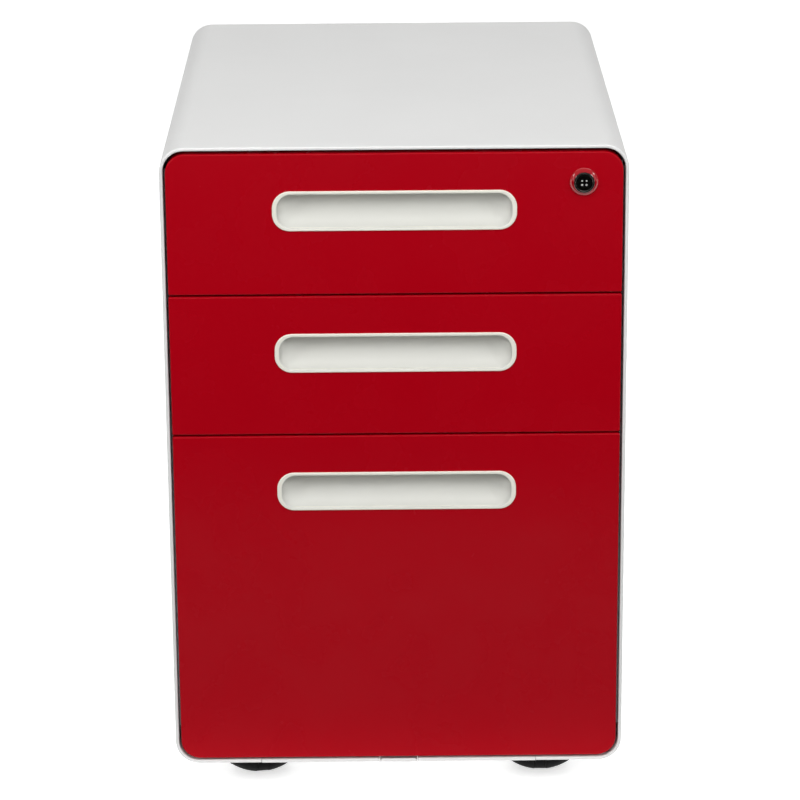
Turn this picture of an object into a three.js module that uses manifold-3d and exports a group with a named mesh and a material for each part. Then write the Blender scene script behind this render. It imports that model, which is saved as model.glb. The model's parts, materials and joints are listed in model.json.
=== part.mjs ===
// A three-drawer mobile filing pedestal: a white steel case, two box drawers over a file drawer,
// red box-folded fronts with moulded recessed handles, ball-bearing runners, a gang lock and casters.
// Millimetres, +Z up. The origin is on the floor under the middle of the case. The fronts face -Y.
import * as THREE from 'three';
import { mergeVertices } from 'three/addons/utils/BufferGeometryUtils.js';
import Module from 'manifold-3d';

const wasm = await Module();
wasm.setup();

// ---- driving dimensions ----
const WIDTH = 400;
const DEPTH = 520;
const HEIGHT = 603;
const CASE_BOTTOM = 35; // underside of the case above the floor
const CORNER_RADIUS = 21; // outer corners of the case, seen from the front
const SHEET = 1; // steel sheet
const LIP = 3; // width of the hemmed rim round the case's mouth
const HEM_DEPTH = 10;
const REVEAL = 2; // gap between the rim and the drawer fronts
const DRAWER_GAP = 1.6; // gap between two fronts
const BOX_FRONT_HEIGHT = 125;
const FRONT_DEPTH = 20; // box-folded thickness of a drawer front
const CLEAR = 0.3; // gap between pieces that rest on each other

// ---- places worked out from them ----
const FRONT_Y = -DEPTH / 2;
const BACK_Y = DEPTH / 2;
const FRONT_BACK_Y = FRONT_Y + FRONT_DEPTH; // rear face of the drawer fronts
const FRONT_HALF_WIDTH = WIDTH / 2 - LIP - REVEAL;
const FRONT_CORNER = CORNER_RADIUS - LIP - REVEAL;
const CASE_HEIGHT = HEIGHT - CASE_BOTTOM;
const CASE_MIDDLE_Z = (HEIGHT + CASE_BOTTOM) / 2;

// ---- finishes ----
const paint = (color, roughness = 0.45) => new THREE.MeshStandardMaterial({ color, roughness, metalness: 0 });
const metal = (color, roughness) => new THREE.MeshStandardMaterial({ color, roughness, metalness: 1 });
const CASE_WHITE = paint(0xe6e6e4);
const FRONT_RED = paint(0xa80414, 0.4);
const HANDLE_CREAM = paint(0xe9e6dc, 0.35);
const DRAWER_WHITE = paint(0xdadbd8, 0.5);
const ZINC = metal(0xb4b8bc, 0.35);
const CHROME = metal(0xd0d0d0, 0.12);
const TRAY_GREY = paint(0x2a2b2d, 0.6);
const CASTER_BLACK = paint(0x101012, 0.5);

// ---- solids ----
const pedestal = new THREE.Group();

function add(name, material, geometry, parent = pedestal) {
  const mesh = new THREE.Mesh(geometry, material);
  mesh.name = name;
  parent.add(mesh);
  return mesh;
}

// A closed geometry as a manifold solid.
function solid(geometry) {
  const bare = geometry.index ? geometry.toNonIndexed() : geometry.clone();
  bare.deleteAttribute('normal');
  bare.deleteAttribute('uv');
  const merged = mergeVertices(bare, 1e-3);
  return new wasm.Manifold(new wasm.Mesh({
    numProp: 3,
    vertProperties: merged.attributes.position.array,
    triVerts: new Uint32Array(merged.index.array),
  }));
}

function geometryOf(shape) {
  const mesh = shape.getMesh();
  return new THREE.BufferGeometry()
    .setAttribute('position', new THREE.BufferAttribute(new Float32Array(mesh.vertProperties), 3))
    .setIndex(new THREE.BufferAttribute(new Uint32Array(mesh.triVerts), 1));
}

const join = (...shapes) => shapes.reduce((whole, shape) => whole.add(shape));
const cut = (shape, ...cutters) => cutters.reduce((left, cutter) => left.subtract(cutter), shape);

// A box between two corners.
function block([x0, y0, z0], [x1, y1, z1]) {
  const box = new THREE.BoxGeometry(x1 - x0, y1 - y0, z1 - z0);
  return solid(box.translate((x0 + x1) / 2, (y0 + y1) / 2, (z0 + z1) / 2));
}

// An outline in X and Z, carried along Y.
function alongY(outline, y0, y1, curveSegments = 6) {
  const geometry = new THREE.ExtrudeGeometry(outline, { depth: y1 - y0, bevelEnabled: false, curveSegments });
  return solid(geometry.rotateX(Math.PI / 2).translate(0, y1, 0));
}

// An outline in Y and Z, carried along X.
function alongX(outline, x0, x1, curveSegments = 6) {
  const geometry = new THREE.ExtrudeGeometry(outline, { depth: x1 - x0, bevelEnabled: false, curveSegments });
  return solid(geometry.rotateX(Math.PI / 2).rotateZ(Math.PI / 2).translate(x0, 0, 0));
}

// A round bar along X, Y or Z, centred on the point.
function bar(axis, radius, length, [x, y, z], segments = 24) {
  const geometry = new THREE.CylinderGeometry(radius, radius, length, segments);
  if (axis === 'x') geometry.rotateZ(Math.PI / 2);
  if (axis === 'z') geometry.rotateX(Math.PI / 2);
  return solid(geometry.translate(x, y, z));
}

function polygon(points) {
  return new THREE.Shape(points.map(([u, v]) => new THREE.Vector2(u, v)));
}

// A rectangle with one radius at its top corners and another at its bottom corners.
function panelOutline(halfWidth, low, high, topRadius, bottomRadius) {
  const shape = new THREE.Shape();
  shape.moveTo(-halfWidth + bottomRadius, low);
  shape.lineTo(halfWidth - bottomRadius, low);
  shape.absarc(halfWidth - bottomRadius, low + bottomRadius, bottomRadius, -Math.PI / 2, 0);
  shape.lineTo(halfWidth, high - topRadius);
  shape.absarc(halfWidth - topRadius, high - topRadius, topRadius, 0, Math.PI / 2);
  shape.lineTo(-halfWidth + topRadius, high);
  shape.absarc(-halfWidth + topRadius, high - topRadius, topRadius, Math.PI / 2, Math.PI);
  shape.lineTo(-halfWidth, low + bottomRadius);
  shape.absarc(-halfWidth + bottomRadius, low + bottomRadius, bottomRadius, Math.PI, 1.5 * Math.PI);
  return shape;
}

// The case's outline, drawn in by inset.
function caseOutline(inset) {
  const radius = CORNER_RADIUS - inset;
  return panelOutline(WIDTH / 2 - inset, CASE_BOTTOM + inset, HEIGHT - inset, radius, radius);
}

const caseRing = (outer, inner, y0, y1) => cut(alongY(caseOutline(outer), y0, y1),
  alongY(caseOutline(inner), y0 - 1, y1 + 1));

// ---- case ----
const RETURN_EDGE = 123.5; // the wrapper's bottom returns end here, where the base pan's sill begins
const SEAM = 0.4;
const PAN_HALF_WIDTH = 185;
const PAN_FRONT_Y = FRONT_BACK_Y + 2;
const PAN_REAR_Y = BACK_Y - 14;
const PAN_TOP = CASE_BOTTOM + 25;
const BRACKET_SLOT = 17; // half width of the notch that the anti-tilt bracket runs out through
const BRACKET_SLOT_END = FRONT_Y + 118;

// The rim, its rolled-back hem and the sheet behind them, as one closed ring.
const caseShell = () => join(
  caseRing(0, SHEET, FRONT_Y, BACK_Y),
  caseRing(0, LIP, FRONT_Y, FRONT_Y + SHEET),
  caseRing(LIP - SHEET, LIP, FRONT_Y, FRONT_Y + HEM_DEPTH),
);

// One sheet bent over the top and down both sides. Its two ends turn in under the case.
function outerWrapper() {
  const low = CASE_BOTTOM - 1;
  const high = CASE_BOTTOM + LIP + 2;
  const betweenReturns = block([-RETURN_EDGE, FRONT_Y - 1, low], [RETURN_EDGE, BACK_Y + 1, high]);
  const casterRoom = block([-PAN_HALF_WIDTH, PAN_FRONT_Y + SHEET, low],
    [PAN_HALF_WIDTH, PAN_REAR_Y - SHEET, high]);
  return cut(caseShell(), betweenReturns, casterRoom);
}

// A raised tray between the returns. The casters stand in it, and its front edge carries the rim on as sill.
function basePan() {
  const sillHalf = RETURN_EDGE - SEAM;
  const wallLow = CASE_BOTTOM + 2.4;
  const plate = block([-PAN_HALF_WIDTH, PAN_FRONT_Y, PAN_TOP - SHEET], [PAN_HALF_WIDTH, PAN_REAR_Y, PAN_TOP]);
  const wall = (x0, y0, x1, y1) => block([x0, y0, wallLow], [x1, y1, PAN_TOP]);
  const walls = [
    wall(-PAN_HALF_WIDTH, PAN_FRONT_Y, PAN_HALF_WIDTH, PAN_FRONT_Y + SHEET),
    wall(-PAN_HALF_WIDTH, PAN_REAR_Y - SHEET, PAN_HALF_WIDTH, PAN_REAR_Y),
    wall(-PAN_HALF_WIDTH, PAN_FRONT_Y, -PAN_HALF_WIDTH + SHEET, PAN_REAR_Y),
    wall(PAN_HALF_WIDTH - SHEET, PAN_FRONT_Y, PAN_HALF_WIDTH, PAN_REAR_Y),
  ];
  const sills = [[FRONT_Y, PAN_FRONT_Y + SHEET], [PAN_REAR_Y - SHEET, BACK_Y]].flatMap(([y0, y1]) => [
    caseShell().intersect(block([-sillHalf, y0, CASE_BOTTOM - 1], [sillHalf, y1, CASE_BOTTOM + LIP + 2])),
  ]);
  const feet = [PAN_FRONT_Y, PAN_REAR_Y - SHEET].map((y) =>
    block([-sillHalf, y, CASE_BOTTOM], [sillHalf, y + SHEET, wallLow + 1]));
  const slot = block([-BRACKET_SLOT, FRONT_Y - 1, CASE_BOTTOM - 1],
    [BRACKET_SLOT, BRACKET_SLOT_END, PAN_TOP + 1]);
  return cut(join(plate, ...walls, ...sills, ...feet), slot);
}

// A flanged panel set inside the rear of the wrapper.
function backPanel() {
  const inset = SHEET + 0.5;
  const flange = 12;
  const low = CASE_BOTTOM + 2;
  const pan = cut(
    alongY(caseOutline(inset), BACK_Y - flange, BACK_Y),
    alongY(caseOutline(inset + SHEET), BACK_Y - flange - 1, BACK_Y - SHEET),
  );
  return cut(pan, block([-WIDTH, BACK_Y - flange - 1, 0], [WIDTH, BACK_Y + 1, low]));
}

// Folded channels spot-welded to the case's sides. They carry the runners.
const POST_FACE_X = 185.6;
const POST_OUTER_X = WIDTH / 2 - SHEET - CLEAR;
const POST_WIDTH = 30;
const POST_LOW = PAN_TOP + 1;
const POST_HIGH = HEIGHT - CORNER_RADIUS - 2;
const FRONT_POST_Y = FRONT_Y + 24;
const REAR_POST_Y = BACK_Y - 80;

function post(side, y) {
  const [inner, outer] = [POST_FACE_X, POST_OUTER_X];
  const channel = cut(
    block([inner, y, POST_LOW], [outer, y + POST_WIDTH, POST_HIGH]),
    block([inner + 1.2, y + 1.2, POST_LOW - 1], [outer + 1, y + POST_WIDTH - 1.2, POST_HIGH + 1]),
  );
  return side > 0 ? channel : channel.mirror([1, 0, 0]);
}

// A channel across the top of the mouth, behind the top drawer's front.
function topRail() {
  const [y0, y1] = [FRONT_POST_Y + 4, FRONT_POST_Y + 29];
  const [z0, z1] = [HEIGHT - 20, HEIGHT - SHEET - CLEAR];
  const half = WIDTH / 2 - CORNER_RADIUS;
  return cut(block([-half, y0, z0], [half, y1, z1]),
    block([-half - 1, y0 + 1.2, z0 - 1], [half + 1, y1 - 1.2, z1 - 1.2]));
}

add('outer_wrapper', CASE_WHITE, geometryOf(outerWrapper()));
add('base_pan', CASE_WHITE, geometryOf(basePan()));
add('back_panel', CASE_WHITE, geometryOf(backPanel()));
add('top_front_rail', CASE_WHITE, geometryOf(topRail()));
for (const [side, sign] of [['left', -1], ['right', 1]]) {
  add(`front_${side}_post`, ZINC, geometryOf(post(sign, FRONT_POST_Y)));
  add(`rear_${side}_post`, ZINC, geometryOf(post(sign, REAR_POST_Y)));
}

// ---- drawers ----
const HANDLE_DROP = 51; // handle centre below the top edge of its front
const BOX_HALF_WIDTH = 172.3;
const BOX_FRONT_Y = FRONT_BACK_Y + CLEAR;
const BOX_REAR_Y = BACK_Y - 45;
const frontTop = HEIGHT - LIP - REVEAL;
const frontFoot = CASE_BOTTOM + LIP + REVEAL;
const boxPitch = BOX_FRONT_HEIGHT + DRAWER_GAP;

// low and high bound the front; floor and rim bound the steel box behind it; runner is the runners' height;
// catchZ is the height of the tab that the lock bar catches.
const DRAWERS = {
  top: { high: frontTop, low: frontTop - BOX_FRONT_HEIGHT, floor: 482, rim: 557, runner: 519, catchZ: 549 },
  middle: { high: frontTop - boxPitch, low: frontTop - boxPitch - BOX_FRONT_HEIGHT, floor: 355, rim: 430,
    runner: 392, catchZ: 421 },
  file: { high: frontTop - 2 * boxPitch, low: frontFoot, floor: 63, rim: 312, runner: 110, catchZ: 290 },
};
const LOCK_X = 161.4;
const LOCK_Z = frontTop - 27;

// ---- recessed handle ----
const HANDLE = { length: 209, height: 35, rim: 1.2, band: 3, wall: 1.6, depth: 17, flat: 2.6 };

// A slot outline with nearly round ends, centred on X and on the height z. Nested ones stay evenly spaced.
function slotOutline(length, height, z) {
  const radius = height / 2 - HANDLE.flat;
  return panelOutline(length / 2, z - height / 2, z + height / 2, radius, radius);
}

// The finger scoop's side view: a steep upper wall, a deep back and a floor that curves out to the lower rim.
function scoopOutline(z, halfHeight, mouthY, depth) {
  const backY = mouthY + depth;
  const shape = new THREE.Shape();
  shape.moveTo(mouthY - 3, z - halfHeight);
  shape.lineTo(mouthY, z - halfHeight);
  shape.bezierCurveTo(mouthY + 0.55 * depth, z - 0.95 * halfHeight, backY, z - 0.5 * halfHeight,
    backY, z + 0.35 * halfHeight);
  shape.quadraticCurveTo(backY, z + halfHeight, backY - 0.3 * depth, z + halfHeight);
  shape.lineTo(mouthY - 3, z + halfHeight);
  return shape;
}

function handle(z) {
  const mouthY = FRONT_Y - HANDLE.rim;
  const band = 2 * HANDLE.band;
  const bodyLength = HANDLE.length - band;
  const bodyHeight = HANDLE.height - band;
  const rim = alongY(slotOutline(HANDLE.length, HANDLE.height, z), mouthY, FRONT_Y - 0.1, 8);
  const tubEnd = mouthY + HANDLE.depth + HANDLE.wall;
  const tub = alongY(slotOutline(bodyLength, bodyHeight, z), FRONT_Y - 0.1, tubEnd, 8);
  const wall = 2 * HANDLE.wall;
  const mouthOutline = slotOutline(bodyLength - wall, bodyHeight - wall, z);
  const mouth = alongY(mouthOutline, mouthY - 2, mouthY + HANDLE.depth + 1, 8);
  const scoop = alongX(scoopOutline(z, bodyHeight / 2, mouthY, HANDLE.depth), -WIDTH / 2, WIDTH / 2, 6);
  return cut(join(rim, tub), mouth.intersect(scoop));
}

// A sheet folded back at all four edges and turned in again behind, with a cut-out for the handle.
function drawerFront({ low, high }, topRadius, bottomRadius, handleZ, lockHole) {
  const outline = (inset) => panelOutline(FRONT_HALF_WIDTH - inset, low + inset, high - inset,
    Math.max(topRadius - inset, 0.5), Math.max(bottomRadius - inset, 0.5));
  const rearTurnIn = 9;
  const cutters = [
    alongY(outline(SHEET), FRONT_Y + SHEET, FRONT_BACK_Y - SHEET),
    alongY(outline(rearTurnIn), FRONT_BACK_Y - SHEET - 1, FRONT_BACK_Y + 1),
    alongY(slotOutline(HANDLE.length - 2 * HANDLE.band + 1, HANDLE.height - 2 * HANDLE.band + 1, handleZ),
      FRONT_Y - 1, FRONT_Y + 2, 8),
  ];
  if (lockHole) cutters.push(bar('y', 9.5, 8, [LOCK_X, FRONT_Y, LOCK_Z]));
  return cut(alongY(outline(0), FRONT_Y, FRONT_BACK_Y), ...cutters);
}

// A folded steel tub: floor, two sides, a back, and a taller front wall that closes the front's open rear.
function drawerBox({ low, high, floor, rim, catchZ }, lockHole) {
  const half = BOX_HALF_WIDTH;
  const wallHigh = Math.min(high - 6, HEIGHT - 11);
  const tub = cut(
    block([-half, BOX_FRONT_Y, floor], [half, BOX_REAR_Y, rim]),
    block([-half + SHEET, BOX_FRONT_Y + SHEET, floor + SHEET], [half - SHEET, BOX_REAR_Y - SHEET, rim + 1]),
  );
  const frontWall = block([-half, BOX_FRONT_Y, Math.max(floor, low + 8)],
    [half, BOX_FRONT_Y + SHEET, wallHigh]);
  const catchTab = block([half - 0.5, FRONT_Y + 26, catchZ - 2.5], [half + 9, FRONT_Y + 27.5, catchZ + 2.5]);
  const box = join(tub, frontWall, catchTab);
  return lockHole ? cut(box, bar('y', 9.8, 6, [LOCK_X, BOX_FRONT_Y, LOCK_Z])) : box;
}

// ---- ball-bearing runners ----
const RUNNER_FRONT_Y = FRONT_Y + 24;
const RUNNER_LENGTH = 450;
const RUNNER_X = BOX_HALF_WIDTH + CLEAR; // the drawer side of the runner

// Three nested channels. Each profile gives its web, its half height, and how far its flanges reach.
const RUNNERS = {
  outer: { web: [11.4, 12.7], half: 22.5, reach: 3.6, lip: 2.2 },
  middle: { web: [7.4, 8.6], half: 17.4, reach: 2.2, lip: 0 },
  drawer: { web: [0, 1.2], half: 12.6, reach: 6.4, lip: 0 },
};

function runner(kind, side, z) {
  const { web, half, reach, lip } = RUNNERS[kind];
  const [x0, x1] = web.map((x) => RUNNER_X + x);
  const tip = RUNNER_X + reach;
  const [y0, y1] = [RUNNER_FRONT_Y, RUNNER_FRONT_Y + RUNNER_LENGTH];
  const pieces = [block([x0, y0, z - half], [x1, y1, z + half])];
  for (const end of [-1, 1]) {
    const [edge, inside] = [z + end * half, z + end * (half - 1.2)];
    const [lowZ, highZ] = [Math.min(edge, inside), Math.max(edge, inside)];
    pieces.push(block([Math.min(x0, tip), y0, lowZ], [Math.max(x1, tip), y1, highZ]));
    if (lip) {
      const lipEnd = z + end * (half - 1.2 - lip);
      pieces.push(block([tip, y0, Math.min(edge, lipEnd)], [tip + 1.2, y1, Math.max(edge, lipEnd)]));
    }
  }
  const channel = join(...pieces);
  return side > 0 ? channel : channel.mirror([1, 0, 0]);
}

for (const [drawer, place] of Object.entries(DRAWERS)) {
  const handleZ = place.high - HANDLE_DROP;
  const isTop = drawer === 'top';
  const radii = { top: [FRONT_CORNER, 1.5], middle: [1.5, 1.5], file: [1.5, FRONT_CORNER] }[drawer];
  add(`${drawer}_drawer_front`, FRONT_RED, geometryOf(drawerFront(place, ...radii, handleZ, isTop)));
  add(`${drawer}_drawer_box`, DRAWER_WHITE, geometryOf(drawerBox(place, isTop)));
  add(`${drawer}_drawer_handle`, HANDLE_CREAM, geometryOf(handle(handleZ)));
  for (const [side, sign] of [['left', -1], ['right', 1]]) {
    add(`${drawer}_${side}_outer_runner`, ZINC, geometryOf(runner('outer', sign, place.runner)));
    add(`${drawer}_${side}_middle_runner`, ZINC, geometryOf(runner('middle', sign, place.runner)));
    add(`${drawer}_${side}_drawer_runner`, ZINC, geometryOf(runner('drawer', sign, place.runner)));
  }
}

// ---- pencil tray, hung on the top drawer's rim ----
function pencilTray() {
  const rim = DRAWERS.top.rim + CLEAR;
  const [y0, y1] = [BOX_FRONT_Y + 4, BOX_FRONT_Y + 124];
  const [halfIn, halfOut] = [BOX_HALF_WIDTH - 3, BOX_HALF_WIDTH - 0.4];
  const floor = rim - 24;
  const wall = 2;
  const body = join(
    block([-halfIn, y0, floor], [halfIn, y1, rim + 2]),
    block([-halfOut, y0, rim], [halfOut, y1, rim + 2]),
  );
  const well = (x0, x1, v0, v1) => block([x0, v0, floor + wall], [x1, v1, rim + 3]);
  const grooveEnd = y0 + 46;
  const bins = 3;
  const binWidth = (2 * halfIn - wall * (bins + 1)) / bins;
  const wells = [well(-halfIn + wall, halfIn - wall, y0 + wall, grooveEnd)];
  for (let i = 0; i < bins; i += 1) {
    const x0 = -halfIn + wall + i * (binWidth + wall);
    wells.push(well(x0, x0 + binWidth, grooveEnd + wall, y1 - wall));
  }
  return cut(body, ...wells);
}
add('pencil_tray', TRAY_GREY, geometryOf(pencilTray()));

// ---- hanging rails along the file drawer's sides ----
for (const [side, sign] of [['left', -1], ['right', 1]]) {
  const z = DRAWERS.file.rim;
  const [x0, x1] = [sign * 162, sign * 164.5].sort((a, b) => a - b);
  const [y0, y1] = [BOX_FRONT_Y + SHEET + CLEAR, BOX_REAR_Y - SHEET - CLEAR];
  add(`${side}_hanging_rail`, ZINC, geometryOf(block([x0, y0, z - 9], [x1, y1, z + 4])));
}

// ---- gang lock: barrel, key plug, cam, and the bar that catches all three drawers ----
const LOCK = {
  flange: 12.1, collar: 8.9, barrel: 9.2, plug: 7, proud: 4.5, barrelEnd: BOX_FRONT_Y + SHEET - 0.1,
};
const CAM = { reach: 20, half: 4.5, y0: FRONT_Y + 21.8, y1: FRONT_Y + 23.4 };

function lockBarrel() {
  const tip = FRONT_Y - LOCK.proud;
  const profile = [[0, tip], [LOCK.collar - 0.5, tip], [LOCK.collar, tip + 0.5], [LOCK.collar, FRONT_Y - 2.6],
    [LOCK.flange, FRONT_Y - 0.9], [LOCK.flange, FRONT_Y - 0.2],
    [LOCK.barrel, FRONT_Y - 0.2], [LOCK.barrel, LOCK.barrelEnd], [0, LOCK.barrelEnd]];
  const lathe = new THREE.LatheGeometry(profile.map(([r, y]) => new THREE.Vector2(r, y)), 32);
  const bore = bar('y', LOCK.plug + CLEAR, 60, [0, FRONT_Y, 0], 24);
  return cut(solid(lathe), bore).translate([LOCK_X, 0, LOCK_Z]);
}

function lockPlug() {
  const [y0, y1] = [FRONT_Y - LOCK.proud + 0.5, CAM.y0 - 0.1];
  const keyway = block([LOCK_X - 1.2, y0 - 1, LOCK_Z - 4], [LOCK_X + 1.2, y0 + 12, LOCK_Z + 4]);
  return cut(bar('y', LOCK.plug, y1 - y0, [LOCK_X, (y0 + y1) / 2, LOCK_Z]), keyway);
}

function lockCam() {
  const disc = bar('y', 7, CAM.y1 - CAM.y0, [LOCK_X, (CAM.y0 + CAM.y1) / 2, LOCK_Z], 20);
  const arm = block([LOCK_X - CAM.half, CAM.y0, LOCK_Z], [LOCK_X + CAM.half, CAM.y1, LOCK_Z + CAM.reach]);
  return join(disc, arm);
}

// The cam presses on the arm at the bar's head. Three hooks drop in front of the drawers' catch tabs.
function lockBar() {
  const hookHigh = 17;
  const hookLow = 7.5;
  const [x0, x1] = [187, 196];
  const tab = (low, high, inner) => block([inner, CAM.y0, low], [x0 + 1, CAM.y1, high]);
  const armTop = LOCK_Z + 6.7;
  const strip = block([x0, CAM.y0, 270], [x1, CAM.y1, HEIGHT - 18]);
  const hooks = Object.values(DRAWERS).map(({ catchZ }) => tab(catchZ + hookLow, catchZ + hookHigh, 176));
  return join(strip, ...hooks, tab(armTop - 8, armTop, 174.5));
}

add('lock_barrel', CHROME, geometryOf(lockBarrel()));
add('lock_plug', CHROME, geometryOf(lockPlug()));
add('lock_cam', ZINC, geometryOf(lockCam()));
add('lock_bar', ZINC, geometryOf(lockBar()));

// ---- casters ----
const CASTER = {
  x: 130, setback: 87, trail: 22, wheelRadius: 25, innerX: 4.9, outerX: 29, crownRadius: 49,
  axle: 3, stem: 3, socket: 6.1,
};

// One domed wheel on +X. Its tread is widest beside the hood's web and curves in towards the outer face.
function casterWheel() {
  const { wheelRadius, innerX, outerX, crownRadius, axle } = CASTER;
  const crownDrop = (x) => crownRadius - Math.sqrt(crownRadius ** 2 - x ** 2);
  const steps = 5;
  const profile = [[0, outerX - 3.5], [axle + CLEAR, outerX - 3.5], [axle + CLEAR, innerX]];
  for (let i = 0; i <= steps; i += 1) {
    const x = innerX + ((outerX - innerX) * i) / steps;
    profile.push([wheelRadius - crownDrop(x) + crownDrop(innerX), x]);
  }
  profile.push([0, outerX]);
  const lathe = new THREE.LatheGeometry(profile.map(([r, x]) => new THREE.Vector2(r, x)), 24);
  return solid(lathe.rotateZ(-Math.PI / 2));
}

// The swivelling hood: a web between the wheels, a socket for the stem, a guard over the top and the axle.
function casterHood() {
  const { trail, wheelRadius, innerX, outerX, axle, stem, socket } = CASTER;
  const web = innerX - 0.4;
  const guardHalf = 25;
  const topZ = 2 * wheelRadius + 3.5;
  const [guardInner, guardOuter] = [wheelRadius + 1.2, wheelRadius + 3.4];
  const guard = new THREE.Shape();
  guard.absarc(0, 0, guardOuter, 0.19 * Math.PI, 0.92 * Math.PI);
  guard.absarc(0, 0, guardInner, 0.92 * Math.PI, 0.19 * Math.PI, true);
  const disc = bar('x', wheelRadius - 0.3, 2 * web, [0, -trail, wheelRadius], 48);
  const neck = block([-web, -trail, wheelRadius], [web, socket, topZ]);
  const bore = bar('z', stem + CLEAR, 24, [0, 0, topZ - 7], 20);
  const guardShell = alongX(guard, -guardHalf, guardHalf, 8).rotate([0, 0, 180])
    .translate([0, -trail, wheelRadius]);
  const pin = bar('x', axle, 2 * (outerX - 3.5 - CLEAR), [0, -trail, wheelRadius], 16);
  return cut(join(disc, neck, guardShell, pin), bore);
}

// The fixed plate and the stem that the hood turns on.
function casterPlate() {
  const high = PAN_TOP - SHEET - CLEAR;
  const plate = block([-19, -19, high - 1.8], [19, 19, high]);
  const collar = bar('z', 9, 2.5, [0, 0, high - 2.5], 20);
  const stem = bar('z', CASTER.stem, 16, [0, 0, high - 9.5], 20);
  return join(plate, collar, stem);
}

// Each caster rests turned a little, as a rolled cabinet leaves them.
const CASTERS = {
  front_left: { x: -CASTER.x, y: FRONT_Y + CASTER.setback, turn: 9 },
  front_right: { x: CASTER.x, y: FRONT_Y + CASTER.setback, turn: 0 },
  rear_left: { x: -CASTER.x, y: BACK_Y - CASTER.setback, turn: 24 },
  rear_right: { x: CASTER.x, y: BACK_Y - CASTER.setback, turn: -16 },
};
for (const [corner, { x, y, turn }] of Object.entries(CASTERS)) {
  const caster = new THREE.Group();
  caster.position.set(x, y, 0);
  caster.rotation.z = THREE.MathUtils.degToRad(turn);
  pedestal.add(caster);
  const plate = add(`${corner}_caster_plate`, ZINC, geometryOf(casterPlate()));
  plate.position.set(x, y, 0);
  add(`${corner}_caster_hood`, CASTER_BLACK, geometryOf(casterHood()), caster);
  for (const [side, sign] of [['left', -1], ['right', 1]]) {
    const wheel = add(`${corner}_caster_${side}_wheel`, CASTER_BLACK, geometryOf(casterWheel()), caster);
    wheel.position.set(0, -CASTER.trail, CASTER.wheelRadius);
    wheel.rotation.z = sign > 0 ? 0 : Math.PI;
  }
}

// ---- anti-tilt wheel, carried out in front of the case by the file drawer ----
const ANTI_TILT = { y: FRONT_Y + 96, z: 16, radius: 14, halfWidth: 11, axle: 3 };

function antiTiltBracket() {
  const { y, z, axle } = ANTI_TILT;
  const half = BRACKET_SLOT - 2;
  const tongueHalf = BRACKET_SLOT - CLEAR;
  const relief = 2; // the tongue's top corners are cut off, which leaves a small V at each end of the notch
  const high = DRAWERS.file.floor - CLEAR;
  const topPlate = block([-half, FRONT_Y + 24, high - 1.5], [half, y + 18, high]);
  const strap = block([-tongueHalf, FRONT_Y, CASE_BOTTOM], [tongueHalf, y + 12, CASE_BOTTOM + 1.2]);
  const tongueTop = CASE_BOTTOM + LIP;
  const tongue = alongY(polygon([[-tongueHalf, CASE_BOTTOM], [tongueHalf, CASE_BOTTOM],
    [tongueHalf, tongueTop - relief], [tongueHalf - relief, tongueTop], [-tongueHalf + relief, tongueTop],
    [-tongueHalf, tongueTop - relief]]), FRONT_Y, FRONT_Y + SHEET);
  const legs = [-half, half - 1.5].map((x) => block([x, y - 12, z - 7], [x + 1.5, y + 12, high]));
  const pin = bar('x', axle, 2 * half, [0, y, z], 16);
  return join(topPlate, strap, tongue, ...legs, pin);
}

function antiTiltWheel() {
  const { y, z, radius, halfWidth, axle } = ANTI_TILT;
  const profile = [[axle + CLEAR, -halfWidth], [radius - 1.5, -halfWidth], [radius, -halfWidth + 1.5],
    [radius, halfWidth - 1.5], [radius - 1.5, halfWidth], [axle + CLEAR, halfWidth],
    [axle + CLEAR, -halfWidth]];
  const lathe = new THREE.LatheGeometry(profile.map(([r, x]) => new THREE.Vector2(r, x)), 24);
  return solid(lathe.rotateZ(-Math.PI / 2).translate(0, y, z));
}

add('anti_tilt_bracket', CASE_WHITE, geometryOf(antiTiltBracket()));
add('anti_tilt_wheel', CASTER_BLACK, geometryOf(antiTiltWheel()));

export default pedestal;
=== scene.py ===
import json
import math

import bmesh
import bpy
import numpy as np
from mathutils import Matrix, Vector

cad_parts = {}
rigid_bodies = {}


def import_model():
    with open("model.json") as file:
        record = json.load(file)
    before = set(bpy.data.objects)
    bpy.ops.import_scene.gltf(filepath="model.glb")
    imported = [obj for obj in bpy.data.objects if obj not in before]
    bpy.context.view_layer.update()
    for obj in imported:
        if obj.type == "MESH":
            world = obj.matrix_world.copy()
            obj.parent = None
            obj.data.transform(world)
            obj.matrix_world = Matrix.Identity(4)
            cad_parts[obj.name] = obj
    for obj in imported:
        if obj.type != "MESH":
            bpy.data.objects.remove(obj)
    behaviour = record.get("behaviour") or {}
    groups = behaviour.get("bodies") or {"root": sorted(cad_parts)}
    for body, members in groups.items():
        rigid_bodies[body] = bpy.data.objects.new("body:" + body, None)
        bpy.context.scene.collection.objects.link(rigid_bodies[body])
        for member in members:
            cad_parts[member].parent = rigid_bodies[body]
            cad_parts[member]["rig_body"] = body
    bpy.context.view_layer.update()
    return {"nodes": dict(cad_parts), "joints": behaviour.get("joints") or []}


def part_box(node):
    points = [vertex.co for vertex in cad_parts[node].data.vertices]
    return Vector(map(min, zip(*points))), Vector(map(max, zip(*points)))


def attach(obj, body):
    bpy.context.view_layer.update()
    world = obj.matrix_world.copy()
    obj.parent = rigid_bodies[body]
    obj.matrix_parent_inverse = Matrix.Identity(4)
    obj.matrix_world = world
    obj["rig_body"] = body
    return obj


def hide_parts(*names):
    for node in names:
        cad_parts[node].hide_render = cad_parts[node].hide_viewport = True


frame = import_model()

# ==== Case ====
# One sheet of 1 mm steel bent over the top and down both sides with a 21 mm radius. Its mouth is hemmed back
# into a 3 mm rim, and its two ends turn in under the case. It is white epoxy powder coat, satin.

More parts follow.
